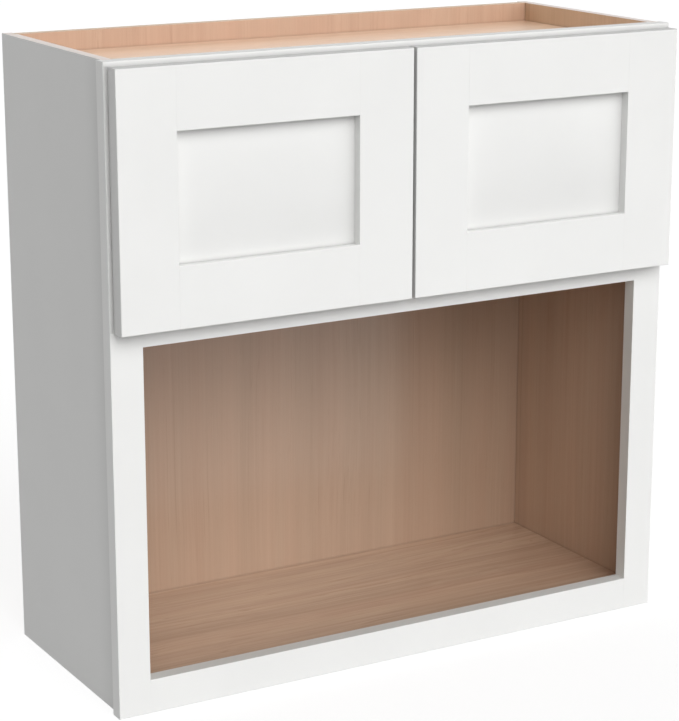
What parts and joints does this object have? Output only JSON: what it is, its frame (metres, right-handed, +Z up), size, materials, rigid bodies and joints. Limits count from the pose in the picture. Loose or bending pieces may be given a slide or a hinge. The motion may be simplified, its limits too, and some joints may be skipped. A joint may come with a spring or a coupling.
{
  "type": "microwave cabinet",
  "caption": "Wall-hung kitchen cabinet with an open bay for a microwave oven below and a cupboard behind two shaker doors above, built of plywood behind a painted face frame.",
  "frame": {"origin": "middle of the bottom of the bounding box, doors closed", "axes": "+Z up, the doors and the open bay face -Y, +X is the right-hand side seen from the front"},
  "size_m": [0.762, 0.3276, 0.762],
  "materials": {
    "white_paint": "satin white paint",
    "painted_plywood": "satin white outside, clear maple inside",
    "maple_plywood": "clear matt lacquer on maple",
    "nickel": "satin nickel plate",
    "zinc": "zinc plate",
    "spring_steel": "oiled spring steel",
    "clear_rubber": "soft translucent"
  },
  "bodies": {
    "cabinet": {"side_panel_left": "painted_plywood", "side_panel_right": "painted_plywood", "back_panel": "maple_plywood", "top_panel": "maple_plywood", "cupboard_shelf": "maple_plywood", "bottom_panel": "maple_plywood", "frame_stile_left": "white_paint", "frame_stile_right": "white_paint", "frame_rail_top": "white_paint", "frame_rail_middle": "white_paint", "frame_rail_bottom": "white_paint", "left_upper_hinge_arm": "nickel", "left_upper_hinge_plate": "nickel", "left_upper_plate_screw_top": "zinc", "left_upper_plate_screw_bottom": "zinc", "left_upper_adjusting_screw": "zinc", "left_lower_hinge_arm": "nickel", "left_lower_hinge_plate": "nickel", "left_lower_plate_screw_top": "zinc", "left_lower_plate_screw_bottom": "zinc", "left_lower_adjusting_screw": "zinc", "right_upper_hinge_arm": "nickel", "right_upper_hinge_plate": "nickel", "right_upper_plate_screw_top": "zinc", "right_upper_plate_screw_bottom": "zinc", "right_upper_adjusting_screw": "zinc", "right_lower_hinge_arm": "nickel", "right_lower_hinge_plate": "nickel", "right_lower_plate_screw_top": "zinc", "right_lower_plate_screw_bottom": "zinc", "right_lower_adjusting_screw": "zinc"},
    "left_door": {"left_door_outer_stile": "white_paint", "left_door_inner_stile": "white_paint", "left_door_top_rail": "white_paint", "left_door_bottom_rail": "white_paint", "left_door_panel": "white_paint", "left_door_upper_bumper": "clear_rubber", "left_door_lower_bumper": "clear_rubber", "left_upper_hinge_cup": "nickel", "left_upper_hinge_pin": "zinc", "left_upper_hinge_spring": "spring_steel", "left_lower_hinge_cup": "nickel", "left_lower_hinge_pin": "zinc", "left_lower_hinge_spring": "spring_steel"},
    "right_door": {"right_door_outer_stile": "white_paint", "right_door_inner_stile": "white_paint", "right_door_top_rail": "white_paint", "right_door_bottom_rail": "white_paint", "right_door_panel": "white_paint", "right_door_upper_bumper": "clear_rubber", "right_door_lower_bumper": "clear_rubber", "right_upper_hinge_cup": "nickel", "right_upper_hinge_pin": "zinc", "right_upper_hinge_spring": "spring_steel", "right_lower_hinge_cup": "nickel", "right_lower_hinge_pin": "zinc", "right_lower_hinge_spring": "spring_steel"}
  },
  "joints": [
    {"name": "left_door_hinge", "type": "hinge", "parent": "cabinet", "child": "left_door", "pos_m": [-0.3704, -0.15205, 0.6089], "axis": [0, 0, -1], "range_deg": [0, 105]},
    {"name": "right_door_hinge", "type": "hinge", "parent": "cabinet", "child": "right_door", "pos_m": [0.3704, -0.15205, 0.6089], "axis": [0, 0, 1], "range_deg": [0, 105]}
  ]
}
